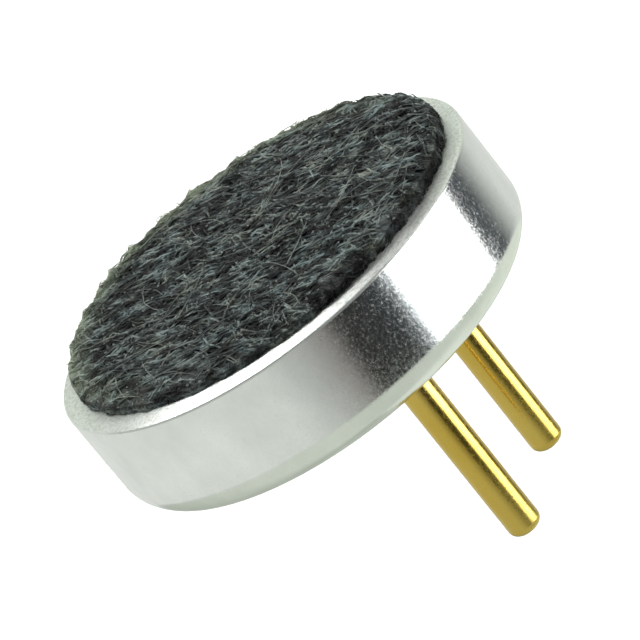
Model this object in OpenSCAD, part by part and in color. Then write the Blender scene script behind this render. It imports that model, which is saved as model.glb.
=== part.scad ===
// Electret microphone capsule, pin type: a rolled aluminium can with a felt front and two rear pins.
// The origin is the centre of the seating plane, +Z points out of the felt, +X runs along the pin pair.

/* [Can] */
// Outer diameter of the can
can_d = 6; // [5.6:0.1:9.7]
// Height of the can from the seating plane to its front face
can_h = 1.55; // [1.5:0.05:2.7]
// Thickness of the drawn sheet
sheet_t = 0.2; // [0.15:0.01:0.22]
// Outer radius of the rolled rear edge
crimp_r = 0.42; // [0.34:0.01:0.5]
// Width of the flat lip inside the rolled edge
lip_w = 0.23; // [0.12:0.01:0.35]
// Outer radius of the corner between the wall and the front
corner_r = 0.05; // [0.03:0.01:0.15]
// Inner radius of the same corner
inner_corner_r = 0.03; // [0.02:0.01:0.1]

/* [Sound holes] */
// Diameter of a sound hole in the front of the can
sound_d = 0.35; // [0.2:0.05:0.5]
// Number of sound holes around the centre one
sound_count = 6; // [3:1:8]
// Radius of the circle of sound holes
sound_pitch_r = 1.1; // [0.8:0.05:1.3]

/* [Dust cover] */
// Width of bare rim between the felt and the front corner
cover_margin = 0.22; // [0.12:0.01:0.4]
// Thickness of the felt
cover_t = 0.24; // [0.15:0.01:0.5]
// Radius of the felt's pressed edges
cover_edge_r = 0.06; // [0.02:0.01:0.07]
// How far the felt sits off the axis, toward +X
cover_shift = 0.08; // [0:0.01:0.1]
// Thickness of the adhesive ring
adhesive_t = 0.04; // [0.02:0.01:0.1]
// Width of the adhesive ring
adhesive_w = 0.9; // [0.5:0.05:1]
// How far the adhesive ring stays inside the felt's edge
adhesive_inset = 0.07; // [0.03:0.01:0.2]

/* [Circuit board] */
// Thickness of the board
board_t = 0.3; // [0.2:0.01:0.34]
// Thickness of the copper lands
foil_t = 0.035; // [0.018:0.001:0.07]
// Gap between the board's edge and the rolled bend
board_gap = 0.03; // [0.01:0.01:0.1]
// Diameter of the pads around the pins
pad_d = 0.9; // [0.8:0.02:1]
// Width of the copper tracks that join the pads to the rings
track_w = 0.3; // [0.2:0.02:0.5]
// Gap between the two front lands under the capacitors
land_gap = 0.2; // [0.12:0.02:0.26]
// Width of each front land
land_w = 0.65; // [0.5:0.01:0.8]
// Radius of the front lands' corners
land_corner_r = 0.1; // [0.04:0.01:0.2]

/* [Acoustic stack] */
// Gap between the stack's outer rings and the can wall
wall_gap = 0.03; // [0.01:0.01:0.1]
// Gap between the holder and what it surrounds
nest_gap = 0.03; // [0.01:0.01:0.1]
// Wall of the insulating holder
holder_w = 0.32; // [0.2:0.01:0.35]
// Width of the gate ring
gate_w = 0.27; // [0.15:0.01:0.28]
// Thickness of the back plate
plate_t = 0.1; // [0.06:0.01:0.13]
// Diameter of a hole in the back plate
plate_hole_d = 0.3; // [0.2:0.05:0.5]
// Number of holes in the back plate
plate_hole_count = 8; // [4:1:10]
// Radius of the circle of holes in the back plate
plate_pitch_r = 1.5; // [1:0.05:1.6]
// Thickness of the electret film
film_t = 0.025; // [0.012:0.001:0.04]
// Thickness of the spacer, which sets the air gap
spacer_t = 0.038; // [0.025:0.001:0.05]
// How far the spacer laps over the back plate
spacer_lap = 0.12; // [0.06:0.01:0.25]
// Thickness of the diaphragm
diaphragm_t = 0.012; // [0.006:0.001:0.02]
// Thickness of the diaphragm ring
ring_t = 0.12; // [0.08:0.01:0.15]
// Width of the diaphragm ring
ring_w = 0.52; // [0.4:0.01:0.6]

/* [Transistor] */
// Length of the transistor body along X
jfet_l = 1; // [0.9:0.05:1.2]
// Width of the transistor body along Y
jfet_w = 0.6; // [0.5:0.05:0.7]
// Height of the transistor body
jfet_h = 0.36; // [0.3:0.01:0.4]
// Distance of the transistor's centre from the axis, toward +Y
jfet_y = 0.75; // [0.7:0.05:1]
// Width of a lead
lead_w = 0.2; // [0.15:0.01:0.25]
// Thickness of a lead
lead_t = 0.1; // [0.06:0.01:0.12]
// Length of a lead outside the body
lead_out = 0.1; // [0.05:0.01:0.2]
// Length of a lead inside the body
lead_in = 0.15; // [0.1:0.01:0.2]
// Spacing of the source and drain leads
lead_pitch = 0.7; // [0.5:0.05:0.75]
// Gap between the body and the copper under it
standoff = 0.02; // [0.01:0.01:0.05]

/* [Capacitors] */
// Length of a chip capacitor
chip_l = 0.6; // [0.5:0.02:0.8]
// Width and height of a chip capacitor
chip_w = 0.3; // [0.24:0.02:0.36]
// Length of a metal end cap
cap_l = 0.15; // [0.1:0.01:0.18]
// Thickness of the metal of an end cap
cap_t = 0.02; // [0.01:0.005:0.03]
// Distance between the centres of the two capacitors
chip_pitch = 0.55; // [0.5:0.01:0.65]
// Distance of the first capacitor's centre from the axis, toward -Y
chip_y = 0.05; // [0:0.01:0.15]

/* [Terminals] */
// Diameter of a pin
pin_d = 0.45; // [0.4:0.01:0.5]
// Length of a pin below the seating plane
pin_l = 2.86; // [2:0.02:6]
// Distance between the two pins
pin_pitch = 1.8; // [1.6:0.05:2]
// Distance of the pin pair from the axis, toward -Y
pin_offset = 1.1; // [0.95:0.05:1.2]
// Radius of a pin's rounded tip edge
pin_tip_r = 0.12; // [0.05:0.01:0.18]
// How much a pin's tail narrows on its way through the board
tail_taper = 0.05; // [0.02:0.01:0.1]
// Radial gap between a pin and its hole in the board
hole_gap = 0.02; // [0.01:0.005:0.05]
// Bare copper left around a solder fillet
solder_margin = 0.025; // [0.01:0.005:0.1]
// How far the solder stays above the seating plane
solder_recess = 0.02; // [0.01:0.01:0.05]

/* [Hidden] */

$fn = 96;
// Overlap of a cutting shape past the face that it cuts
cut = 0.1;

// Radii, from the can wall inward
can_r = can_d / 2;
bore_r = can_r - sheet_t;
bend_r = crimp_r - sheet_t;
bend_axis_r = can_r - crimp_r;
lip_r = bend_axis_r - lip_w;
stack_r = bore_r - max(wall_gap, inner_corner_r);
holder_in_r = stack_r - holder_w;
plate_r = holder_in_r - nest_gap;
gate_in_r = plate_r - gate_w;
spacer_in_r = plate_r - spacer_lap;
cover_r = can_r - corner_r - cover_margin;
adhesive_r = cover_r - adhesive_inset;
pin_r = pin_d / 2;
tail_r = pin_r - tail_taper / 2;
hole_r = pin_r + hole_gap;
pad_r = pad_d / 2;
solder_r = pad_r - solder_margin;

// The board's rear edge clears the round inside of the rolled bend
board_r = bend_axis_r + sqrt(pow(bend_r, 2) - pow(bend_r - foil_t, 2)) - board_gap;

// Levels, from the seating plane up
rear_land_z = sheet_t;
board_z = rear_land_z + foil_t;
front_land_z = board_z + board_t;
chip_z = front_land_z + foil_t;
ring_z = can_h - sheet_t - ring_t;
diaphragm_z = ring_z - diaphragm_t;
spacer_z = diaphragm_z - spacer_t;
film_z = spacer_z - film_t;
plate_z = film_z - plate_t;
cover_z = can_h + adhesive_t;

// Places of the pins, the transistor's leads and the capacitors
ground_at = [-pin_pitch / 2, -pin_offset];
output_at = [pin_pitch / 2, -pin_offset];
lead_y = jfet_y - jfet_w / 2;
gate_lead_y = jfet_y + jfet_w / 2;
land_top_y = lead_y + lead_in;
gate_pad_y = gate_lead_y - lead_in;

// Half section of a round body, with its lower and upper outer edges rounded
module rounded_section(r, z0, z1, low_r, high_r) {
    translate([0, z0]) square([r - low_r, low_r]);
    translate([0, z0 + low_r]) square([r, z1 - z0 - low_r - high_r]);
    translate([0, z1 - high_r]) square([r - high_r, high_r]);
    translate([r - low_r, z0 + low_r]) circle(low_r);
    translate([r - high_r, z1 - high_r]) circle(high_r);
}

// Washer or ring standing on a level
module ring(out_r, in_r, z, h) {
    translate([0, 0, z]) difference() {
        cylinder(r = out_r, h = h);
        translate([0, 0, -cut]) cylinder(r = in_r, h = h + 2 * cut);
    }
}

// Copies spread evenly around the axis
module around(count, r) {
    for (i = [0 : count - 1]) rotate([0, 0, i * 360 / count]) translate([r, 0, 0]) children();
}

// Rectangle with round corners, given by two opposite corners
module rounded_square(from, to, r) {
    size = to - from;
    translate(from + [r, 0]) square([size[0] - 2 * r, size[1]]);
    translate(from + [0, r]) square([size[0], size[1] - 2 * r]);
    for (x = [from[0] + r, to[0] - r], y = [from[1] + r, to[1] - r]) translate([x, y]) circle(r);
}

// Drawn cup: flat front with sound holes, straight wall, rear edge rolled inward over the board
module can() {
    color("silver") difference() {
        rotate_extrude() difference() {
            rounded_section(can_r, 0, can_h, crimp_r, corner_r);
            rounded_section(bore_r, sheet_t, can_h - sheet_t, bend_r, inner_corner_r);
            translate([0, -cut]) square([lip_r, sheet_t + 2 * cut]);
        }
        translate([0, 0, can_h - sheet_t - cut]) {
            cylinder(d = sound_d, h = sheet_t + 2 * cut);
            around(sound_count, sound_pitch_r) cylinder(d = sound_d, h = sheet_t + 2 * cut);
        }
    }
}

// Die-cut felt disc with pressed edges
module dust_cover() {
    color("dimgray") translate([cover_shift, 0, 0]) rotate_extrude()
        rounded_section(cover_r, cover_z, cover_z + cover_t, cover_edge_r, cover_edge_r);
}

// Adhesive ring that leaves the sound holes free
module cover_adhesive() {
    color("whitesmoke") translate([cover_shift, 0, 0])
        ring(adhesive_r, adhesive_r - adhesive_w, can_h, adhesive_t);
}

// Metal ring that holds the diaphragm stretched
module diaphragm_ring() {
    color("goldenrod") ring(stack_r, stack_r - ring_w, ring_z, ring_t);
}

// Metallised film
module diaphragm() {
    color("lightsteelblue") translate([0, 0, diaphragm_z]) cylinder(r = stack_r, h = diaphragm_t);
}

// Washer that sets the air gap
module spacer() {
    color("lightyellow") ring(stack_r, spacer_in_r, spacer_z, spacer_t);
}

// Holes through the back plate and its film
module plate_holes(z, h) {
    translate([0, 0, z - cut]) around(plate_hole_count, plate_pitch_r)
        cylinder(d = plate_hole_d, h = h + 2 * cut);
}

// Charged film on the front of the back plate
module electret_film() {
    color("aliceblue") difference() {
        translate([0, 0, film_z]) cylinder(r = plate_r, h = film_t);
        plate_holes(film_z, film_t);
    }
}

// Perforated metal disc behind the diaphragm
module back_plate() {
    color("gold") difference() {
        translate([0, 0, plate_z]) cylinder(r = plate_r, h = plate_t);
        plate_holes(plate_z, plate_t);
    }
}

// Moulded insulating ring between the board and the spacer
module holder() {
    color("ivory") ring(stack_r, holder_in_r, front_land_z, spacer_z - front_land_z);
}

// Metal ring that joins the back plate to the gate land
module gate_ring() {
    color("darkkhaki") ring(plate_r, gate_in_r, chip_z, plate_z - chip_z);
}

// Round board with a hole for each pin
module circuit_board() {
    color("seagreen") difference() {
        translate([0, 0, board_z]) cylinder(r = board_r, h = board_t);
        for (at = [ground_at, output_at]) translate([at[0], at[1], board_z - cut])
            cylinder(r = hole_r, h = board_t + 2 * cut);
    }
}

// Copper ring under the gate ring, with a track to the transistor's gate
module gate_land() {
    color("peru") translate([0, 0, front_land_z]) linear_extrude(foil_t) union() {
        difference() {
            circle(plate_r);
            circle(gate_in_r);
        }
        rounded_square([-track_w / 2, gate_pad_y], [track_w / 2, gate_in_r + gate_w / 2], land_corner_r);
    }
}

// Copper of one side of the board's front: a pin's pad and the area under the leads and capacitors
module front_land(at) {
    side = sign(at[0]);
    inner = side * land_gap / 2;
    outer = side * (land_gap / 2 + land_w);
    translate([0, 0, front_land_z]) linear_extrude(foil_t) difference() {
        union() {
            translate(at) circle(pad_r);
            rounded_square([min(inner, outer), at[1]], [max(inner, outer), land_top_y], land_corner_r);
        }
        translate(at) circle(hole_r);
    }
}

module drain_land() {
    color("peru") front_land(output_at);
}

module source_land() {
    color("peru") front_land(ground_at);
}

// Copper ring that the rolled lip presses on, with a track to the ground pin's pad
module rear_ground_land() {
    reach = norm(ground_at);
    color("peru") translate([0, 0, rear_land_z]) linear_extrude(foil_t) difference() {
        union() {
            difference() {
                circle(bend_axis_r);
                circle(lip_r - track_w / 2);
            }
            translate(ground_at) circle(pad_r);
            rotate(atan2(ground_at[1], ground_at[0])) translate([reach, -track_w / 2])
                square([lip_r - reach, track_w]);
        }
        translate(ground_at) circle(hole_r);
    }
}

// Copper pad of the output pin
module rear_output_land() {
    color("peru") translate([0, 0, rear_land_z]) linear_extrude(foil_t) translate(output_at) difference() {
        circle(pad_r);
        circle(hole_r);
    }
}

// Flat lead that lies on its land and runs under the body, pointing along +Y or -Y
module lead(x, edge_y, way) {
    near_y = edge_y - way * lead_in;
    far_y = edge_y + way * lead_out;
    translate([x - lead_w / 2, min(near_y, far_y), chip_z]) cube([lead_w, lead_in + lead_out, lead_t]);
}

module jfet_gate_lead() {
    color("lightgray") lead(0, gate_lead_y, 1);
}

module jfet_source_lead() {
    color("lightgray") lead(-lead_pitch / 2, lead_y, -1);
}

module jfet_drain_lead() {
    color("lightgray") lead(lead_pitch / 2, lead_y, -1);
}

// Moulded transistor body, notched for its leads
module jfet_body() {
    color("darkslategray") difference() {
        translate([-jfet_l / 2, lead_y, chip_z + standoff]) cube([jfet_l, jfet_w, jfet_h]);
        lead(0, gate_lead_y, 1);
        lead(-lead_pitch / 2, lead_y, -1);
        lead(lead_pitch / 2, lead_y, -1);
    }
}

// Ceramic block of a chip capacitor, inside its end caps
module chip_core(y) {
    translate([cap_t - chip_l / 2, y - chip_w / 2 + cap_t, chip_z + cap_t])
        cube([chip_l, chip_w, chip_w] - 2 * cap_t * [1, 1, 1]);
}

// Two metal cups over the ends of the block
module chip_ends(y) {
    difference() {
        for (x = [-chip_l / 2, chip_l / 2 - cap_l]) translate([x, y - chip_w / 2, chip_z])
            cube([cap_l, chip_w, chip_w]);
        chip_core(y);
    }
}

module capacitor_1_body() {
    color("tan") chip_core(-chip_y);
}

module capacitor_1_ends() {
    color("lightgray") chip_ends(-chip_y);
}

module capacitor_2_body() {
    color("tan") chip_core(-chip_y - chip_pitch);
}

module capacitor_2_ends() {
    color("lightgray") chip_ends(-chip_y - chip_pitch);
}

// Straight pin with a rounded tip, and a tail that narrows from the seating plane through the board
module pin(at) {
    translate(at) {
        cylinder(r1 = pin_r, r2 = tail_r, h = chip_z);
        translate([0, 0, pin_tip_r - pin_l]) cylinder(r = pin_r, h = pin_l - pin_tip_r);
        rotate_extrude() {
            translate([0, -pin_l]) square([pin_r - pin_tip_r, pin_tip_r]);
            intersection() {
                translate([pin_r - pin_tip_r, pin_tip_r - pin_l]) circle(pin_tip_r);
                translate([0, -pin_l]) square([pin_r, pin_tip_r]);
            }
        }
    }
}

module ground_pin() {
    color("gold") pin(ground_at);
}

module output_pin() {
    color("gold") pin(output_at);
}

// Concave solder fillet between a rear land and its pin
module solder(at) {
    fillet_r = rear_land_z - solder_recess;
    difference() {
        translate(at) rotate_extrude() difference() {
            translate([0, solder_recess]) square([solder_r, fillet_r]);
            translate([solder_r, solder_recess]) circle(fillet_r);
        }
        pin(at);
    }
}

module ground_solder() {
    color("lightgray") solder(ground_at);
}

module output_solder() {
    color("lightgray") solder(output_at);
}

can();
dust_cover();
cover_adhesive();
diaphragm_ring();
diaphragm();
spacer();
electret_film();
back_plate();
holder();
gate_ring();
circuit_board();
gate_land();
drain_land();
source_land();
rear_ground_land();
rear_output_land();
jfet_body();
jfet_gate_lead();
jfet_source_lead();
jfet_drain_lead();
capacitor_1_body();
capacitor_1_ends();
capacitor_2_body();
capacitor_2_ends();
ground_pin();
output_pin();
ground_solder();
output_solder();
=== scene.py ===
import math

import bmesh
import bpy
import numpy as np
from mathutils import Matrix, Quaternion, Vector, noise


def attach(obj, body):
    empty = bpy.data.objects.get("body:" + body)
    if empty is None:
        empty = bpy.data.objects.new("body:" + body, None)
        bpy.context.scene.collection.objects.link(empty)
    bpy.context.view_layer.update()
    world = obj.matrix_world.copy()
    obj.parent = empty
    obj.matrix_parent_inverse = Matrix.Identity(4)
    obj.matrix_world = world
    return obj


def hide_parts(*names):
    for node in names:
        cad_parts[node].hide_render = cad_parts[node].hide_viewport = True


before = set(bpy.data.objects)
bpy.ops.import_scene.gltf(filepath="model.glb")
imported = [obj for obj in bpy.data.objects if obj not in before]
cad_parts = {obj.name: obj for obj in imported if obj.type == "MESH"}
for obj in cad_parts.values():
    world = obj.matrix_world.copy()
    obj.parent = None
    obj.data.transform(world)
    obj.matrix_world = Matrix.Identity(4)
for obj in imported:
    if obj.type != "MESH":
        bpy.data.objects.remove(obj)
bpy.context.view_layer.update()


# The can is the housing: a shallow cup drawn from aluminium sheet, with sound holes punched in its front.
# When the stack and the board are in, its rear edge is rolled over the board and clamps everything.
# Its wall keeps the satin of the drawing die, with fine dull pits, and its flat front has a wiped lay.
can_r, can_h, sheet = 3.0, 1.55, 0.2
crimp_r, lip_r = 0.42, 2.35
corner_r, inner_corner_r = 0.05, 0.03
sound_r, sound_pitch_r, sound_count = 0.175, 1.1, 6
can_steps, sound_steps = 192, 32
mm, um, weld = 1e-3, 1e-6, 1e-5
sharp = math.radians(30)


def turned(outline, steps, at=(0, 0)):
    """Round body in mm, spun from points (r, z) and arcs (centre r, centre z, degrees, parts)."""
    bm = bmesh.new()
    tip = bm.verts.new((outline[0][0], 0, outline[0][1]))
    for leg in outline[1:]:
        if len(leg) == 2:
            tip = bmesh.ops.extrude_vert_indiv(bm, verts=[tip])["verts"][0]
            tip.co = (leg[0], 0, leg[1])
        else:
            r, z, degrees, parts = leg
            swept = bmesh.ops.spin(
                bm, geom=[tip], cent=(r, 0, z), axis=(0, 1, 0), angle=-math.radians(degrees), steps=parts
            )
            tip = next(v for v in swept["geom_last"] if isinstance(v, bmesh.types.BMVert))
    bmesh.ops.spin(
        bm, geom=bm.verts[:] + bm.edges[:], cent=(0, 0, 0), axis=(0, 0, 1),
        angle=math.tau, steps=steps, use_merge=True,
    )
    bmesh.ops.remove_doubles(bm, verts=bm.verts, dist=weld)
    bmesh.ops.recalc_face_normals(bm, faces=bm.faces)
    bmesh.ops.translate(bm, verts=bm.verts, vec=(*at, 0))
    return bm


def punched(bm, tool):
    """What is left of a body when a tool of the same scale has cut through it."""
    shapes = []
    for part in (bm, tool):
        mesh = bpy.data.meshes.new("blank")
        part.to_mesh(mesh)
        part.free()
        shapes.append(bpy.data.objects.new("blank", mesh))
        bpy.context.scene.collection.objects.link(shapes[-1])
    cut = shapes[0].modifiers.new("punch", "BOOLEAN")
    cut.object, cut.operation, cut.solver = shapes[1], "DIFFERENCE", "EXACT"
    left = bpy.data.meshes.new_from_object(shapes[0].evaluated_get(bpy.context.evaluated_depsgraph_get()))
    result = bmesh.new()
    result.from_mesh(left)
    for shape in shapes:
        bpy.data.meshes.remove(shape.data)
    bpy.data.meshes.remove(left)
    return result


def set_in(name, bm, material, slot, *nodes):
    """Turns a body in mm into a piece of the capsule at its true size."""
    bmesh.ops.scale(bm, vec=(mm, mm, mm), verts=bm.verts)
    for edge in bm.edges:
        edge.smooth = edge.calc_face_angle(0) < sharp
    for face in bm.faces:
        face.smooth = True
    mesh = bpy.data.meshes.new(name)
    bm.to_mesh(mesh)
    bm.free()
    mesh.materials.append(material)
    piece = bpy.data.objects.new(name, mesh)
    bpy.context.scene.collection.objects.link(piece)
    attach(piece, "root")
    if nodes:
        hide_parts(*nodes)
    return piece


def node(tree, kind, feeds=(), **settings):
    """New shader node; feeds gives its inputs, each a plain value or another node's socket."""
    made = tree.nodes.new("ShaderNode" + kind)
    for key, value in settings.items():
        setattr(made, key, value)
    for key, value in dict(feeds).items():
        if isinstance(value, bpy.types.NodeSocket):
            tree.links.new(value, made.inputs[key])
        else:
            made.inputs[key].default_value = value
    return made


def ramp(tree, value, *stops):
    """Colour ramp over a value, from (position, colour) stops."""
    made = node(tree, "ValToRGB", {"Fac": value})
    while len(made.color_ramp.elements) < len(stops):
        made.color_ramp.elements.new(0.5)
    for element, (place, colour) in zip(made.color_ramp.elements, stops):
        element.position = place
        element.color = (*colour, 1)
    return made.outputs["Color"]


def group(name, inputs, outputs):
    """New node group and its inlet and outlet."""
    tree = bpy.data.node_groups.new(name, "ShaderNodeTree")
    for way, sockets in (("INPUT", inputs), ("OUTPUT", outputs)):
        for label, kind in sockets.items():
            tree.interface.new_socket(name=label, in_out=way, socket_type="NodeSocket" + kind)
    return tree, tree.nodes.new("NodeGroupInput"), tree.nodes.new("NodeGroupOutput")


def finish(name, **constants):
    """New material with its node tree and its shader, which takes the constants."""
    material = bpy.data.materials.new(name)
    material.use_nodes = True
    tree = material.node_tree
    shader = tree.nodes["Principled BSDF"]
    for key, value in constants.items():
        shader.inputs[key.replace("_", " ").title().replace("Ior", "IOR")].default_value = value
    return material, tree, shader


def in_mm(tree, stretch=(1, 1, 1), turn=0):
    """Object coordinates in mm, divided by a stretch along each axis, with the axes turned about Z first."""
    return node(tree, "Mapping", {
        "Vector": node(tree, "TexCoord").outputs["Object"],
        "Scale": [s / 1000 for s in stretch], "Rotation": (0, 0, turn),
    }, vector_type="TEXTURE").outputs["Vector"]


metal_marks, inlet, outlet = group(
    "metal_marks", {"Vector": "Vector", "Grain": "Float", "Flake": "Float"},
    {"Height": "Float", "Cloud": "Float", "Tilt": "Vector", "Pits": "Float"},
)
grain = node(metal_marks, "TexNoise", {
    "Vector": inlet.outputs["Vector"], "Scale": inlet.outputs["Grain"], "Detail": 3, "Roughness": 0.6,
})
flakes = node(metal_marks, "TexVoronoi", {"Vector": inlet.outputs["Vector"], "Scale": inlet.outputs["Grain"]})
lean = node(metal_marks, "VectorMath", {0: flakes.outputs["Color"], 1: (0.5, 0.5, 0.5)}, operation="SUBTRACT")
dice = node(metal_marks, "TexWhiteNoise", {"Vector": flakes.outputs["Position"]})
rare = node(metal_marks, "Math", {0: dice.outputs["Value"], 1: 2}, operation="POWER")
rare = node(metal_marks, "Math", {0: rare.outputs[0], 1: inlet.outputs["Flake"]}, operation="MULTIPLY")
tilt = node(metal_marks, "VectorMath", {0: lean.outputs[0], "Scale": rare.outputs[0]}, operation="SCALE")
cloud = node(metal_marks, "TexNoise", {
    "Vector": inlet.outputs["Vector"], "Scale": 1.3, "Detail": 4, "Roughness": 0.55,
})
dense = node(metal_marks, "Math", {0: inlet.outputs["Grain"], 1: 0.4}, operation="MULTIPLY")
pits = node(metal_marks, "TexNoise", {
    "Vector": inlet.outputs["Vector"], "Scale": dense.outputs[0], "Detail": 3, "Roughness": 0.8,
})
pits = node(metal_marks, "MapRange", {"Value": pits.outputs["Fac"], "From Min": 0.43, "From Max": 0.68})
metal_marks.links.new(pits.outputs["Result"], outlet.inputs["Pits"])
metal_marks.links.new(grain.outputs["Fac"], outlet.inputs["Height"])
metal_marks.links.new(cloud.outputs["Fac"], outlet.inputs["Cloud"])
metal_marks.links.new(tilt.outputs[0], outlet.inputs["Tilt"])


def metal(
    name, pale, deep, roughness, grain_per_mm, flake, bump_um,
    pitted=0.0, stretch=(1, 1, 1), toned_by="Cloud", span=(0.3, 0.7), **constants
):
    """Metal finish with a fine grain, small facets that lean out of the surface, dull pits and soft clouds."""
    material, tree, shader = finish(name, metallic=1.0, **constants)
    marks = node(tree, "Group", {
        "Vector": in_mm(tree, stretch), "Grain": grain_per_mm, "Flake": flake,
    }, node_tree=metal_marks)
    tree.links.new(
        ramp(tree, marks.outputs[toned_by], (span[0], deep), (span[1], pale)), shader.inputs["Base Color"]
    )
    dull = node(tree, "MapRange", {
        "Value": marks.outputs["Cloud"], "From Min": 0.3, "From Max": 0.7,
        "To Min": roughness[0], "To Max": roughness[1],
    })
    dull = node(tree, "Math", {
        0: marks.outputs["Pits"], 1: pitted, 2: dull.outputs["Result"],
    }, operation="MULTIPLY_ADD")
    tree.links.new(dull.outputs[0], shader.inputs["Roughness"])
    relief = node(tree, "Bump", {
        "Height": marks.outputs["Height"], "Strength": 1.0, "Distance": bump_um * um,
    })
    facing = node(tree, "VectorMath", {0: relief.outputs["Normal"], 1: marks.outputs["Tilt"]}, operation="ADD")
    facing = node(tree, "VectorMath", {0: facing.outputs[0]}, operation="NORMALIZE")
    tree.links.new(facing.outputs[0], shader.inputs["Normal"])
    return material


drawn_aluminium = metal(
    "drawn_aluminium", (0.95, 0.965, 0.95), (0.80, 0.815, 0.795), (0.09, 0.13),
    grain_per_mm=75, flake=0.05, bump_um=0.4, pitted=0.17, stretch=(1, 1, 1.3),
)
wiped_front = metal(
    "wiped_front", (0.90, 0.915, 0.895), (0.66, 0.69, 0.65), (0.40, 0.48),
    grain_per_mm=26, flake=0.12, bump_um=1.5, toned_by="Height", span=(0.36, 0.56),
    anisotropic=0.85, anisotropic_rotation=0.25,
)
tree = wiped_front.node_tree
wiped = node(tree, "Tangent", direction_type="RADIAL", axis="Z")
tree.links.new(wiped.outputs[0], tree.nodes["Principled BSDF"].inputs["Tangent"])

shell = turned([
    (lip_r, 0), (can_r - crimp_r, 0), (can_r - crimp_r, crimp_r, 90, 16),
    (can_r, can_h - corner_r), (can_r - corner_r, can_h - corner_r, 90, 8),
    (0, can_h), (0, can_h - sheet),
    (can_r - sheet - inner_corner_r, can_h - sheet),
    (can_r - sheet - inner_corner_r, can_h - sheet - inner_corner_r, -90, 4),
    (can_r - sheet, crimp_r), (can_r - crimp_r, crimp_r, -90, 10),
    (lip_r, sheet), (lip_r, 0),
], can_steps)
punch = bmesh.new()
for i in range(sound_count + 1):
    place = Matrix.Rotation(i * math.tau / sound_count, 4, "Z") @ Matrix.Translation(
        (sound_pitch_r if i < sound_count else 0, 0, can_h - sheet / 2)
    )
    bmesh.ops.create_cone(
        punch, cap_ends=True, segments=sound_steps, radius1=sound_r, radius2=sound_r, depth=3 * sheet,
        matrix=place,
    )
shell = punched(shell, punch)
for face in shell.faces:
    face.material_index = int(face.calc_center_median().z > can_h - corner_r / 3)
set_in("can_shell", shell, drawn_aluminium, "can", "can").data.materials.append(wiped_front)


# Inside the front lie the diaphragm, glued under tension to its brass ring, and the plastic spacer washer.
# Behind them come the perforated brass back plate with its charged film, the moulded holder and the gate ring.
# They are stacked loose and are held only by the rolled edge.
moulding, inlet, outlet = group(
    "moulding", {"Vector": "Vector", "Grain": "Float"}, {"Tone": "Float", "Height": "Float"}
)
mottle = node(moulding, "TexNoise", {"Vector": inlet.outputs["Vector"], "Scale": 1.8, "Detail": 5})
pores = node(moulding, "TexNoise", {
    "Vector": inlet.outputs["Vector"], "Scale": inlet.outputs["Grain"], "Detail": 2,
})
moulding.links.new(mottle.outputs["Fac"], outlet.inputs["Tone"])
moulding.links.new(pores.outputs["Fac"], outlet.inputs["Height"])


def plastic(name, pale, deep, roughness, grain_per_mm, bump_um, **constants):
    """Plastic, film or ceramic finish with a mottled tone and fine pores."""
    material, tree, shader = finish(name, **constants)
    surface = node(tree, "Group", {"Vector": in_mm(tree), "Grain": grain_per_mm}, node_tree=moulding)
    tree.links.new(ramp(tree, surface.outputs["Tone"], (0.3, deep), (0.7, pale)), shader.inputs["Base Color"])
    dull = node(tree, "MapRange", {
        "Value": surface.outputs["Height"], "From Min": 0.3, "From Max": 0.7,
        "To Min": roughness[0], "To Max": roughness[1],
    })
    tree.links.new(dull.outputs["Result"], shader.inputs["Roughness"])
    relief = node(tree, "Bump", {
        "Height": surface.outputs["Height"], "Strength": 1.0, "Distance": bump_um * um,
    })
    tree.links.new(relief.outputs["Normal"], shader.inputs["Normal"])
    return material


def dress(material, *names):
    """Gives a finish to pieces whose shape comes from the construction model."""
    for name in names:
        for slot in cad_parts[name].material_slots:
            slot.material = material


rolled_brass = metal(
    "rolled_brass", (0.80, 0.62, 0.30), (0.70, 0.51, 0.22), (0.22, 0.34),
    grain_per_mm=30, flake=0.15, bump_um=1.0, stretch=(6, 1, 1),
)
nickel_plate = metal(
    "nickel_plate", (0.74, 0.71, 0.64), (0.66, 0.63, 0.57), (0.20, 0.32),
    grain_per_mm=26, flake=0.15, bump_um=1.0, stretch=(1, 1, 3),
)
metallised_film = plastic(
    "metallised_film", (0.74, 0.77, 0.80), (0.68, 0.71, 0.75), (0.12, 0.2), grain_per_mm=8, bump_um=0.6,
    metallic=0.7,
)
clear_washer = plastic(
    "spacer_film", (0.84, 0.80, 0.62), (0.78, 0.73, 0.55), (0.25, 0.35), grain_per_mm=14, bump_um=0.6,
)
moulded_ivory = plastic(
    "moulded_ivory", (0.86, 0.84, 0.76), (0.79, 0.77, 0.68), (0.42, 0.58), grain_per_mm=22, bump_um=2.0,
)
dress(rolled_brass, "diaphragm_ring", "back_plate")
dress(metallised_film, "diaphragm", "electret_film")
dress(clear_washer, "spacer")
dress(moulded_ivory, "holder")
dress(nickel_plate, "gate_ring")


# The board is a round of glass epoxy with a green solder mask, etched copper lands on both faces,
# a small moulded transistor and two chip capacitors on the inside. The rolled lip presses on the ring
# of bare copper at its rear, which joins the can to ground.
mask_green, tree, shader = finish("mask_green", roughness=0.4, coat_weight=0.3, coat_roughness=0.2)
place = in_mm(tree)
surface = node(tree, "Group", {"Vector": place, "Grain": 12.0}, node_tree=moulding)
tree.links.new(
    ramp(tree, surface.outputs["Tone"], (0.3, (0.035, 0.16, 0.075)), (0.7, (0.06, 0.23, 0.11))),
    shader.inputs["Base Color"],
)
weave = [
    node(tree, "TexWave", {"Vector": place, "Scale": 4.5, "Distortion": 0.6, "Detail Scale": 2.0},
         bands_direction=way).outputs["Fac"]
    for way in ("X", "Y")
]
crossed = node(tree, "Math", {0: weave[0], 1: weave[1]}, operation="MULTIPLY")
relief = node(tree, "Bump", {"Height": crossed.outputs[0], "Strength": 1.0, "Distance": 2.5 * um})
tree.links.new(relief.outputs["Normal"], shader.inputs["Normal"])

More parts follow.
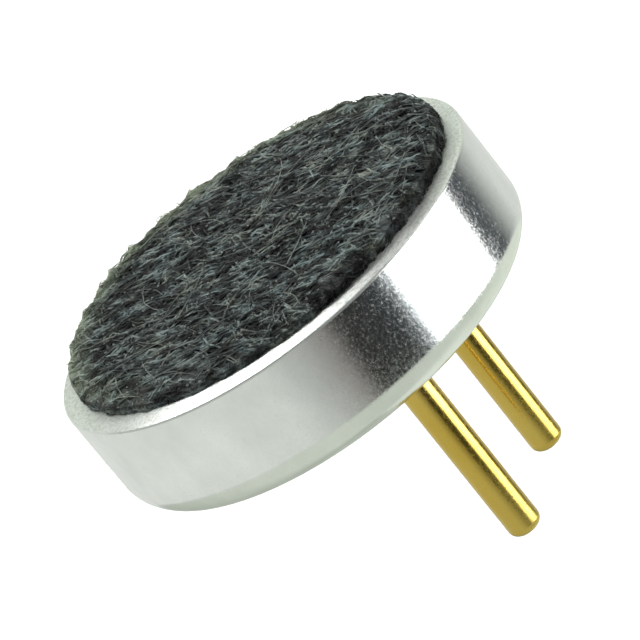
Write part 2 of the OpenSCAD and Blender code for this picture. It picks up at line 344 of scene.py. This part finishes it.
etched_copper = metal(
    "etched_copper", (0.84, 0.50, 0.30), (0.70, 0.36, 0.19), (0.26, 0.42),
    grain_per_mm=22, flake=0.25, bump_um=1.6,
)
moulded_epoxy = plastic(
    "moulded_epoxy", (0.032, 0.032, 0.036), (0.02, 0.02, 0.022), (0.45, 0.62), grain_per_mm=34, bump_um=2.2,
)
chip_ceramic = plastic(
    "chip_ceramic", (0.56, 0.40, 0.27), (0.46, 0.31, 0.19), (0.35, 0.5), grain_per_mm=30, bump_um=1.2,
)
tinned = metal(
    "tinned", (0.80, 0.80, 0.79), (0.68, 0.68, 0.67), (0.18, 0.34),
    grain_per_mm=14, flake=0.15, bump_um=2.0,
)
dress(mask_green, "circuit_board")
dress(etched_copper, "gate_land", "drain_land", "source_land", "rear_ground_land", "rear_output_land")
dress(moulded_epoxy, "jfet_body")
dress(chip_ceramic, "capacitor_1_body", "capacitor_2_body")
dress(tinned, "jfet_gate_lead", "jfet_source_lead", "jfet_drain_lead", "capacitor_1_ends", "capacitor_2_ends")


# Two straight brass pins, gold plated, go through the board and are soldered to its rear lands.
# Their cut ends are tumbled round, and the plating has a fine grain, longer along the wire.
# The solder makes a concave fillet between each land and its pin.
pin_r, pin_low, pin_top, tail_r, tip_r = 0.225, -2.86, 0.57, 0.2, 0.12
pin_x, pin_y, pin_steps = 0.9, -1.1, 64
gold_plate = metal(
    "gold_plate", (0.71, 0.53, 0.14), (0.62, 0.435, 0.08), (0.15, 0.22),
    grain_per_mm=75, flake=0.06, bump_um=0.5, pitted=0.13, stretch=(1, 1, 2),
)
for name, x in (("ground_pin", -pin_x), ("output_pin", pin_x)):
    wire = turned([
        (0, pin_low), (pin_r - tip_r, pin_low), (pin_r - tip_r, pin_low + tip_r, 90, 10),
        (pin_r, 0), (tail_r, pin_top), (0, pin_top),
    ], pin_steps, (x, pin_y))
    set_in(name + "_wire", wire, gold_plate, "gold", name)
dress(tinned, "ground_solder", "output_solder")


# The dust cover is a disc die-cut from nonwoven felt, stuck on the front with a ring of adhesive.
# Its body is dense dark fibre with a cut wall; on top lie combed fibres, finer than a hair,
# with a few loose curly ones, and short tufts stand out along the cut edge.
cover_r, cover_z, cover_top, cover_x, edge_r = 2.73, 1.59, 1.83, 0.08, 0.06
cover_steps = 160
comb = math.radians(79)
# Where the painted rim light lies: its width in from the edge, the side it faces and the heights it spans.
rim_light_w, rim_light_way, rim_light_low, rim_light_high = 0.42, 1.04, 1.70, 1.77
adhesive_white = plastic(
    "adhesive_white", (0.82, 0.81, 0.75), (0.74, 0.72, 0.65), (0.5, 0.65), grain_per_mm=16, bump_um=2.0,
)
dress(adhesive_white, "cover_adhesive")


def over(tree, mask, under, top, blend_type="MIX"):
    """One colour laid over another by a mask."""
    return node(tree, "Mix", {0: mask, 6: under, 7: top}, data_type="RGBA", blend_type=blend_type).outputs[2]


felt_tone, inlet, outlet = group(
    "felt_tone", {"Shade": "Float", "Glint Strength": "Float", "Deep": "Color", "Mid": "Color", "Pale": "Color"},
    {"Color": "Color", "Height": "Float"},
)
# Streaks along the comb vary the tone; their dark stops also paint shade into the crevices between fibres.
streak = node(felt_tone, "TexNoise", {
    "Vector": in_mm(felt_tone, (0.32, 0.13, 0.3), comb), "Scale": 1.0, "Detail": 3, "Roughness": 0.55,
}).outputs["Fac"]
lines = node(felt_tone, "TexNoise", {
    "Vector": in_mm(felt_tone, (0.14, 0.03, 0.05), comb), "Scale": 1.0, "Detail": 2,
}).outputs["Fac"]
patch = node(felt_tone, "TexNoise", {"Vector": in_mm(felt_tone), "Scale": 1.7, "Detail": 2}).outputs["Fac"]
tone = node(felt_tone, "Math", {0: inlet.outputs["Shade"], 1: 0.5, 2: -2.05}, operation="MULTIPLY_ADD")
for part, weight in ((streak, 2.5), (patch, 1.0), (lines, 1.0)):
    tone = node(felt_tone, "Math", {0: part, 1: weight, 2: tone.outputs[0]}, operation="MULTIPLY_ADD")
colour = inlet.outputs["Deep"]
for label, low, high in (("Mid", 0.15, 0.5), ("Pale", 0.5, 0.9)):
    step = node(felt_tone, "MapRange", {"Value": tone.outputs[0], "From Min": low, "From Max": high})
    colour = over(felt_tone, step.outputs["Result"], colour, inlet.outputs[label])
warmth = node(felt_tone, "TexNoise", {
    "Vector": in_mm(felt_tone), "Scale": 4.5, "Detail": 3, "W": 3.0,
}, noise_dimensions="4D")
tint = ramp(felt_tone, warmth.outputs["Fac"], (0.36, (0.94, 1.0, 1.04)), (0.64, (1.07, 1.0, 0.92)))
colour = over(felt_tone, 1.0, colour, tint, "MULTIPLY")
# Painted glints: a few small pale dots over the felt's colour stand in for highlights on fibre ends.
cells = node(felt_tone, "TexVoronoi", {"Vector": in_mm(felt_tone), "Scale": 20.0})
small = node(felt_tone, "Math", {0: cells.outputs["Distance"], 1: 0.42}, operation="LESS_THAN")
few = node(felt_tone, "SeparateColor", {"Color": cells.outputs["Color"]})
few = node(felt_tone, "Math", {0: few.outputs["Red"], 1: 0.93}, operation="GREATER_THAN")
painted_glint = node(felt_tone, "Math", {0: small.outputs[0], 1: few.outputs[0]}, operation="MULTIPLY")
painted_glint = node(felt_tone, "Math", {0: painted_glint.outputs[0], 1: inlet.outputs["Glint Strength"]}, operation="MULTIPLY")
colour = over(felt_tone, painted_glint.outputs[0], colour, (0.34, 0.36, 0.33, 1))
# Painted rim light: near one side of the rim the felt's top is laid over with a paler olive, as if lit from
# behind.
flat = node(felt_tone, "VectorMath", {
    0: in_mm(felt_tone), 1: (1, 1, 0), 2: (-cover_x, 0, 0),
}, operation="MULTIPLY_ADD")
out = node(felt_tone, "VectorMath", {0: flat.outputs[0]}, operation="LENGTH")
near_rim = node(felt_tone, "MapRange", {
    "Value": out.outputs["Value"], "From Min": cover_r - rim_light_w, "From Max": cover_r, "To Max": 0.8,
})
rim_light_side = node(felt_tone, "VectorMath", {
    0: flat.outputs[0], 1: (math.cos(rim_light_way), math.sin(rim_light_way), 0),
}, operation="DOT_PRODUCT")
rim_light_side = node(felt_tone, "MapRange", {
    "Value": rim_light_side.outputs["Value"], "From Min": -0.3 * cover_r, "From Max": 0.7 * cover_r,
})
painted_rim_light = node(felt_tone, "Math", {0: near_rim.outputs["Result"], 1: rim_light_side.outputs["Result"]}, operation="MULTIPLY")
high = node(felt_tone, "SeparateXYZ", {"Vector": in_mm(felt_tone)})
high = node(felt_tone, "MapRange", {"Value": high.outputs["Z"], "From Min": rim_light_low, "From Max": rim_light_high})
painted_rim_light = node(felt_tone, "Math", {0: painted_rim_light.outputs[0], 1: high.outputs["Result"]}, operation="MULTIPLY")
olive = ramp(felt_tone, tone.outputs[0], (0.0, (0.10, 0.115, 0.085)), (0.9, (0.46, 0.525, 0.395)))
colour = over(felt_tone, painted_rim_light.outputs[0], colour, olive)
rough = node(felt_tone, "Math", {0: lines, 1: 0.3, 2: streak}, operation="MULTIPLY_ADD")
felt_tone.links.new(colour, outlet.inputs["Color"])
felt_tone.links.new(rough.outputs[0], outlet.inputs["Height"])


def felt_finish(name, deep, mid, pale, gloss, glint_strength=0.7, shade=None, relief_um=0.0):
    """Felt finish: tone differs by fibre, in soft patches and in streaks that partly paint crevice shade; with
    painted rim light and glints.
    """
    material, tree, shader = finish(name, roughness=0.5, specular_ior_level=gloss)
    if shade is None:
        shade = node(tree, "Attribute", attribute_name="shade").outputs["Fac"]
    tone = node(tree, "Group", {
        "Shade": shade, "Glint Strength": glint_strength, "Deep": (*deep, 1), "Mid": (*mid, 1), "Pale": (*pale, 1),
    }, node_tree=felt_tone)
    tree.links.new(tone.outputs["Color"], shader.inputs["Base Color"])
    if relief_um:
        relief = node(tree, "Bump", {
            "Height": tone.outputs["Height"], "Strength": 1.0, "Distance": relief_um * um,
        })
        tree.links.new(relief.outputs["Normal"], shader.inputs["Normal"])
    return material


# The cut wall's finish is darker than the top's: painted shade on the wall of the cut.
shaded_felt_cut = felt_finish(
    "shaded_felt_cut", (0.003, 0.003, 0.003), (0.034, 0.037, 0.035), (0.06, 0.066, 0.063),
    gloss=0.1, glint_strength=0, shade=0.5, relief_um=40,
)
felt_mat = felt_finish(
    "felt_mat", (0.002, 0.0025, 0.0025), (0.045, 0.053, 0.052), (0.14, 0.162, 0.159),
    gloss=0.2, glint_strength=0.4, shade=0.5, relief_um=60,
)

body_top, hem_z = cover_top - 0.02, can_h + 0.004
slope_r, lean_drop = 2.4, 0.035
lean_way, pressed_way, raised_way, lumpy_way, bulge_way = 0.8, 2.75, 1.8, 0.9, 1.5


def sag(x, y):
    """How far the felt's top lies below its highest side, as it leans and falls away in lumps at the edge."""
    angle = np.arctan2(y, x)
    fall = np.clip((np.hypot(x, y) - slope_r) / (cover_r - slope_r), 0, 1.1) ** 2.5
    lumps = np.sin(angle * 29 + 1) + 0.8 * np.sin(angle * 47 + 2) + 0.6 * np.sin(angle * 71)
    lumps = lumps * (0.6 + 0.4 * np.cos(angle - lumpy_way))
    lean = (x * math.cos(lean_way) + y * math.sin(lean_way)) / cover_r
    pressed = np.clip(np.cos(angle - pressed_way), 0, 1)
    raised = np.clip(np.cos(angle - raised_way), 0, 1)
    lift = 0.025 * raised * (np.hypot(x, y) / cover_r) ** 2
    drop = fall * (0.03 * (1 - raised) + 0.11 * pressed + 0.016 * lumps)
    return lean_drop - lean_drop * lean - lift + drop


def ragged(angle):
    """Radius at which the cut edge ends the fibres, by angle round the felt; one side bulges a little."""
    waves = 0.009 * np.sin(angle * 23 + 1) + 0.008 * np.sin(angle * 41 + 2) + 0.006 * np.sin(angle * 67)
    return cover_r + 0.01 + waves + 0.035 * np.clip(np.cos(angle - bulge_way), 0, 1)


pad = turned(
    [(0, cover_z), (cover_r - 0.07, cover_z), (cover_r - edge_r, hem_z), (cover_r - edge_r, hem_z + edge_r, 90, 4)]
    + [(r, body_top) for r in np.append(np.linspace(cover_r, 2.5, 9), np.linspace(slope_r, 0.0, 30))],
    cover_steps, (cover_x, 0),
)
for vert in pad.verts:
    if vert.co.z > hem_z + edge_r / 2:
        out = Vector((vert.co.x - cover_x, vert.co.y, 0))
        if vert.co.z > cover_z + 2 * edge_r:
            vert.co.z += 0.025 * noise.noise(vert.co * 5.0) - sag(out.x, out.y)
        vert.co += out * (ragged(math.atan2(out.y, out.x)) / cover_r - 1)
# Faces that do not look up take the darker cut finish, which paints their shade.
for face in pad.faces:
    face.material_index = int(face.normal.z > 0.5)
set_in("felt_body", pad, shaded_felt_cut, "felt", "dust_cover").data.materials.append(felt_mat)


rings, sides, fibre_weld = 7, 4, 1e-6
along = np.linspace(0, 1, rings)


def strands(name, material, paths, widths, shades):
    """One piece of many fibres, each a thin tube with pointed ends and a UV cell of its own."""
    curve = bpy.data.curves.new(name, "CURVE")
    curve.dimensions, curve.bevel_depth, curve.bevel_resolution = "3D", 1.0, 0
    taper = np.minimum(1, 6 * np.minimum(along, 1 - along))
    for path, width in zip(paths, widths):
        spline = curve.splines.new("POLY")
        spline.points.add(rings - 1)
        spline.points.foreach_set("co", np.column_stack([path, np.ones(rings)]).ravel())
        spline.points.foreach_set("radius", taper * width * mm)
    bundle = bpy.data.objects.new(name, curve)
    bpy.context.scene.collection.objects.link(bundle)
    bpy.context.view_layer.update()
    mesh = bpy.data.meshes.new_from_object(bundle.evaluated_get(bpy.context.evaluated_depsgraph_get()))
    bpy.data.objects.remove(bundle)
    bpy.data.curves.remove(curve)
    fibre = np.arange(len(mesh.vertices)) // (rings * sides)
    mesh.attributes.new("shade", "FLOAT", "POINT").data.foreach_set("value", np.asarray(shades)[fibre])
    corner = np.zeros(len(mesh.loops), int)
    mesh.loops.foreach_get("vertex_index", corner)
    turn = (corner % sides).reshape(-1, 4)
    seam = (turn.max(1) - turn.min(1) == sides - 1)[:, None] & (turn == 0)
    turn = np.where(seam, sides, turn).ravel()
    row = corner % (rings * sides) // sides
    cells = math.ceil(math.sqrt(len(paths)))
    u = (fibre[corner] % cells + 0.1 + 0.8 * row / (rings - 1)) / cells
    v = (fibre[corner] // cells + 0.1 + 0.8 * turn / sides) / cells
    while mesh.uv_layers:
        mesh.uv_layers.remove(mesh.uv_layers[0])
    mesh.uv_layers.new(name="OFBake").uv.foreach_set("vector", np.column_stack([u, v]).ravel())
    bm = bmesh.new()
    bm.from_mesh(mesh)
    bpy.data.meshes.remove(mesh)
    bmesh.ops.remove_doubles(bm, verts=bm.verts, dist=fibre_weld)
    bmesh.ops.recalc_face_normals(bm, faces=bm.faces)
    return set_in(name, bm, material, "felt")


def combed(rng, count, clump, length, spread, gather, level, curl, hump, crimp):
    """Paths and shades of fibres combed one way, in clumps that gather in ridges and stop at the felt's edge."""
    parts = 40
    steps = np.linspace(-0.5, 0.5, parts + 1)
    paths, shades = [], []
    while len(paths) < count:
        angle = comb + rng.normal(0, math.radians(spread))
        at_r, at_a = cover_r * math.sqrt(rng.random()) * 1.03, rng.random() * math.tau
        middle = np.array([at_r * math.cos(at_a), at_r * math.sin(at_a)])
        ridge = noise.noise((3.2 * at_r * math.cos(at_a - comb), 9.5 * at_r * math.sin(at_a - comb), 2))
        if ridge < rng.uniform(-0.7, 0.3) * gather - 1 + gather:
            continue
        bend = rng.normal(0, curl)
        depth = body_top + rng.uniform(*level) + 0.03 * ridge * gather
        clump_shade = rng.random()
        for _ in range(clump):
            size = rng.uniform(*length)
            turn = angle + rng.normal(0, 0.09) + (bend + rng.normal(0, curl * 0.5)) * steps * size
            turn = turn + rng.normal(0, 0.06) * np.sin(steps * size * rng.uniform(4, 9) + rng.random() * 6.3)
            path = np.stack([np.cumsum(np.cos(turn)), np.cumsum(np.sin(turn))], 1) * size / parts
            path += middle - path[parts // 2] + rng.normal(0, 0.05, 2)
            path += np.array([math.cos(angle), math.sin(angle)]) * rng.normal(0, 0.25)
            kept = np.flatnonzero(np.hypot(*path.T) < ragged(np.arctan2(path[:, 1], path[:, 0])))
            if len(kept) < 9 or kept[-1] - kept[0] >= len(kept):
                continue
            pick = np.linspace(kept[0], kept[-1], rings)
            x, y = (np.interp(pick, np.arange(parts + 1), path[:, k]) for k in (0, 1))
            swell = np.array([0.022 * noise.noise((a * 1.3, b * 1.3, 4)) for a, b in zip(x, y)])
            z = depth + rng.normal(0, 0.006) + swell + rng.uniform(*hump) * (1 - (2 * along - 1) ** 2)
            z = z - 0.07 * (2 * along - 1) ** 4 - sag(x, y)
            kinks = rng.normal(0, crimp, (rings, 3)) * (0.3, 0.3, 1.5)
            kinks *= np.clip((cover_r - np.hypot(x, y)) / 0.3, 0.25, 1)[:, None]
            paths.append(np.column_stack([x + cover_x, y, z]) + kinks)
            shades.append(0.5 * clump_shade + 0.5 * rng.random())
    return paths[:count], shades[:count]


def cut_wall(rng, count):
    """Paths of the fibres that lie in the face of the cut."""
    paths = []
    for _ in range(count):
        sweep = rng.uniform(0.02, 0.08) * (along - 0.5) + rng.random() * math.tau
        r = ragged(sweep) + rng.normal(0, 0.006) - 0.03 * np.abs(2 * along - 1) ** 3
        x, y = r * np.cos(sweep), r * np.sin(sweep)
        wall_h = body_top - sag(x, y) - hem_z
        z = hem_z + 0.02 + rng.random() * (wall_h - 0.04) + rng.normal(0, 0.08) * (along - 0.5)
        paths.append(np.column_stack([x + cover_x, y, z]))
    return paths


def fringe(rng, fuzz_count, tuft_count, tuft_fibres):
    """Paths of the fibre ends that stand out a little along the cut edge, single or drawn together in tufts."""
    paths = []
    for _ in range(fuzz_count):
        angle = rng.normal(frayed_way, 1.0)
        r0 = ragged(angle) - 0.03 - 0.16 * rng.random()
        way = angle + rng.normal(0, 1.3)
        reach = along * rng.uniform(0.02, 0.05)
        bow = rng.normal(0, 0.7) * along
        x = r0 * math.cos(angle) + np.cos(way + bow) * reach
        y = r0 * math.sin(angle) + np.sin(way + bow) * reach
        z = body_top + 0.012 - sag(x[0], y[0]) + rng.uniform(-0.2, 0.4) * reach
        paths.append(np.column_stack([x + cover_x, y, z]))
    for _ in range(tuft_count):
        angle, size = rng.random() * math.tau, rng.uniform(0.015, 0.045)
        tip = np.array([math.cos(angle), math.sin(angle)]) * (ragged(angle) - 0.01 + size)
        tip = np.array([*tip, body_top + 0.015 - sag(*tip) + rng.uniform(-0.03, 0.03)])
        for _ in range(tuft_fibres):
            root_a, root_r = angle + rng.normal(0, 0.035), cover_r - rng.uniform(0.02, 0.12)
            root = np.array([root_r * math.cos(root_a), root_r * math.sin(root_a)])
            root = np.array([*root, body_top + 0.015 - sag(*root)])
            bow = rng.normal(0, 0.02, 3) * np.sin(math.pi * along)[:, None]
            path = root + (tip + rng.normal(0, 0.012, 3) - root) * along[:, None] + bow
            paths.append(path + np.array([cover_x, 0, 0]))
    return paths


def looking(paths, way):
    """How far the felt's edge at the root of each path looks one way: 1 straight to it, -1 straight away."""
    return np.array([math.cos(math.atan2(p[0, 1], p[0, 0] - cover_x) - way) for p in paths])


# The lower layer's finish is darker than the top layer's: partly a darker fibre, partly painted shade of its
# depth.
shaded_lower_fibre = felt_finish(
    "shaded_lower_fibre", (0.002, 0.0025, 0.0025), (0.033, 0.040, 0.040), (0.165, 0.20, 0.197), gloss=0.3
)
grey_fibre = felt_finish(
    "grey_fibre", (0.003, 0.0035, 0.0035), (0.062, 0.076, 0.075), (0.33, 0.39, 0.383), gloss=0.35
)
stray_fibre = felt_finish(
    "stray_fibre", (0.10, 0.115, 0.112), (0.20, 0.22, 0.205), (0.32, 0.345, 0.31), gloss=0.4, glint_strength=0
)
edge_fibre = felt_finish(
    "edge_fibre", (0.008, 0.009, 0.006), (0.060, 0.068, 0.048), (0.24, 0.275, 0.19), gloss=0.2
)
wall_fibre = felt_finish(
    "wall_fibre", (0.002, 0.0025, 0.0025), (0.038, 0.046, 0.045), (0.17, 0.205, 0.20), gloss=0.2, glint_strength=0
)
layers = (
    ("felt_fibres_mid", shaded_lower_fibre, (10, 14), dict(
        count=4300, clump=2, length=(0.35, 1.1), spread=35, gather=0.6, level=(-0.03, 0.015), curl=0.4,
        hump=(0, 0.01), crimp=0.009,
    )),
    ("felt_fibres_top", grey_fibre, (9.5, 13), dict(
        count=4300, clump=2, length=(0.35, 1.0), spread=33, gather=0.9, level=(-0.015, 0.025), curl=0.4,
        hump=(0, 0.01), crimp=0.009,
    )),
    ("felt_strays", stray_fibre, (5.5, 7.5), dict(
        count=130, clump=1, length=(0.7, 2.1), spread=50, gather=0, level=(0.025, 0.045), curl=0.6,
        hump=(0, 0.015), crimp=0.0015,
    )),
)
for seed, (name, material, thick, lay) in enumerate(layers):
    rng = np.random.default_rng(seed + 3)
    paths, shades = combed(rng, **lay)
    strands(name, material, paths, rng.uniform(*thick, lay["count"]), shades)

wall_count, fuzz_count, tuft_count, tuft_fibres = 2000, 2200, 18, 16
frayed_way, wall_light_way, fringe_light_way = 0.8, 2.5, 0.9
rng = np.random.default_rng(17)
paths = cut_wall(rng, wall_count)
thick = rng.uniform(6, 9, wall_count)
# Wall fibres get low tones, a painted shade on the cut, raised toward one side by painted light.
shades = rng.uniform(0, 0.35, wall_count) + 0.7 * looking(paths, wall_light_way).clip(0, 1) ** 2
strands("felt_cut_wall", wall_fibre, paths, thick, shades)
paths = fringe(rng, fuzz_count, tuft_count, tuft_fibres)
thick = rng.uniform(3.5, 5.5, len(paths))
# The fringe's tone rises toward one side of the rim: painted rim light, as on the felt's top.
shades = 0.35 + 0.5 * looking(paths, fringe_light_way) + 0.2 * rng.random(len(paths))
strands("felt_fringe", edge_fibre, paths, thick, shades)


# The studio: a pale table well below the pins, one-sided so that the rear can be seen from under it,
# a round of pale screens with one tall bright panel between dark gaps, and a bright key high behind.
# The camera looks at the front from above one side and is rolled.
table_z = -0.010
table = bmesh.new()
bmesh.ops.create_grid(table, x_segments=1, y_segments=1, size=1.0)
bmesh.ops.translate(table, verts=table.verts, vec=(0, 0, table_z))
mesh = bpy.data.meshes.new("table")
table.to_mesh(mesh)
table.free()
pale_table, tree, shader = finish("pale_table", roughness=0.9, specular_ior_level=0.1)
shader.inputs["Base Color"].default_value = (0.86, 0.87, 0.86, 1)
shader.inputs["Emission Color"].default_value = (1, 1, 1, 1)
path = node(tree, "LightPath")
glow = node(tree, "Math", {0: path.outputs["Is Camera Ray"], 1: 0.3}, operation="MULTIPLY")
tree.links.new(glow.outputs[0], shader.inputs["Emission Strength"])
clear = node(tree, "BsdfTransparent")
back = node(tree, "NewGeometry")
one_sided = node(tree, "MixShader", {
    0: back.outputs["Backfacing"], 1: shader.outputs[0], 2: clear.outputs[0],
})
tree.links.new(one_sided.outputs[0], tree.nodes["Material Output"].inputs["Surface"])
mesh.materials.append(pale_table)
table = bpy.data.objects.new("table", mesh)
bpy.context.scene.collection.objects.link(table)
table.visible_glossy = False

world = bpy.data.worlds.new("studio")
world.use_nodes = True
bpy.context.scene.world = world
tree = world.node_tree
tree.nodes.clear()
camera_way = math.radians(-150.4)
sky = node(tree, "SeparateXYZ", {"Vector": node(tree, "TexCoord").outputs["Generated"]})
turned_to = node(tree, "Math", {0: sky.outputs["Y"], 1: sky.outputs["X"]}, operation="ARCTAN2")
aside = node(tree, "Math", {0: turned_to.outputs[0], 1: camera_way}, operation="SUBTRACT")
aside = node(tree, "Math", {0: aside.outputs[0], 1: math.pi, 2: -math.pi}, operation="WRAP").outputs[0]
around = node(tree, "MapRange", {"Value": aside, "From Min": -math.pi, "From Max": math.pi}).outputs["Result"]
height = node(tree, "Math", {0: sky.outputs["Z"]}, operation="ARCSINE").outputs[0]


def window(value, low, high, soft):
    """Mask of the angles between low and high, with soft edges, in degrees."""
    rise = node(tree, "MapRange", {
        "Value": value, "From Min": math.radians(low - soft), "From Max": math.radians(low + soft),
    }, interpolation_type="SMOOTHSTEP")
    fall = node(tree, "MapRange", {
        "Value": value, "From Min": math.radians(high - soft), "From Max": math.radians(high + soft),
        "To Min": 1, "To Max": 0,
    }, interpolation_type="SMOOTHSTEP")
    both = node(tree, "Math", {0: rise.outputs["Result"], 1: fall.outputs["Result"]}, operation="MULTIPLY")
    return both.outputs[0]


def hung(room, across, up, colour):
    """The room with a screen hung in it, where both masks of angles meet."""
    mask = node(tree, "Math", {0: across, 1: up}, operation="MULTIPLY")
    return over(tree, mask.outputs[0], room, colour)


white, pale, rosy, cool = (1, 1, 1), (0.967, 1.0, 0.948), (1.04, 0.99, 0.94), (0.88, 1.0, 1.08)
screens = [
    (-180, 0.80, pale), (-165, 0.76, pale), (-60, 0.74, pale), (-34, 0.71, pale), (-14, 0.48, pale),
    (0, 0.28, rosy), (9, 0.025, rosy), (31, 0.03, cool), (39, 0.10, cool), (43, 0.7, cool),
    (46, 3.5, white), (58, 7.0, white), (80, 7.0, white), (91, 3.5, white), (95, 0.07, cool), (110, 0.08, cool),
    (122, 0.42, pale), (136, 0.68, pale), (160, 0.74, pale), (180, 0.80, pale),
]
brightest = max(v for _, v, _ in screens)
band = ramp(tree, around, *[
    ((a + 180) / 360, [v / brightest * part for part in tint]) for a, v, tint in screens
])
band = node(tree, "VectorMath", {0: band, "Scale": brightest}, operation="SCALE").outputs[0]
table_tones = [
    (-180, 0.50), (-158, 0.43), (-136, 0.495), (-90, 0.605), (0, 0.59), (29, 0.555), (61, 0.57), (104, 0.70),
    (130, 0.73), (145, 0.71), (153, 0.75), (164, 0.74), (180, 0.50),
]
bench = ramp(tree, around, *[((a + 180) / 360, (v, 1.075 * v, 0.94 * v)) for a, v in table_tones])
band_low, band_high, ceiling = -28, 4, (0.24, 0.25, 0.245, 1)
room = over(tree, window(height, -95, band_low, 1.5), ceiling, bench)
room = over(tree, window(height, band_low, band_high, 1.5), room, band)
behind = node(tree, "Math", {0: aside}, operation="ABSOLUTE").outputs[0]
backdrop = ramp(
    tree, around, (0.0, (0.72, 0.77, 0.70)), (0.12, (0.70, 0.74, 0.68)), (0.5, (0.7, 0.75, 0.67)),
    (0.88, (0.66, 0.71, 0.63)), (1.0, (0.72, 0.77, 0.70)),
)
front, panel, fill = (0.47, 0.49, 0.46, 1), (2.4, 2.4, 2.34, 1), (1.15, 1.215, 1.09, 1)
flag, key = (0.04, 0.04, 0.04, 1), (6.4, 6.45, 6.35, 1)
room = hung(room, window(behind, 120, 200, 8), window(height, 0, 34, 3), backdrop)
room = hung(room, window(aside, -125, -8, 6), window(height, band_high, 40, 2), front)
room = hung(room, window(aside, 44, 94, 2), window(height, band_high, 40, 1.5), panel)
room = hung(room, window(aside, 104, 167, 5), window(height, 28, 40, 2), fill)
room = hung(room, window(aside, 118, 168, 4), window(height, 46, 85, 3), flag)
left_back = node(tree, "Math", {0: aside, 1: math.radians(150)}, operation="ADD")
left_back = node(tree, "Math", {0: left_back.outputs[0], 1: math.pi, 2: -math.pi}, operation="WRAP").outputs[0]
room = hung(room, window(left_back, -38.5, 40, 2), window(height, 46, 78, 4), key)
path = node(tree, "LightPath")
seen = over(tree, path.outputs["Is Camera Ray"], room, (1, 1, 1, 1))
light = node(tree, "Background", {"Color": seen, "Strength": 1.0})
node(tree, "OutputWorld", {"Surface": light.outputs[0]})

azimuth, elevation, roll = math.radians(-60.4), math.radians(20.97), math.radians(-38.85)
middle_z, distance, shift = 0.775, 54.65, Vector((0.2815, -0.1553, 0))
toward = Vector((
    math.sin(azimuth) * math.cos(elevation), -math.cos(azimuth) * math.cos(elevation), math.sin(elevation)
))
turn = toward.to_track_quat("Z", "Y") @ Quaternion((0, 0, 1), roll)
lens = bpy.data.cameras.new("camera")
lens.lens, lens.sensor_width, lens.clip_start, lens.clip_end = 252.3, 36, 0.001, 10
camera = bpy.data.objects.new("camera", lens)
bpy.context.scene.collection.objects.link(camera)
camera.rotation_mode = "QUATERNION"
camera.rotation_quaternion = turn
camera.location = (Vector((0, 0, middle_z)) + toward * distance + turn @ shift) * mm
bpy.context.scene.camera = camera
bpy.context.scene.view_settings.view_transform = "Standard"
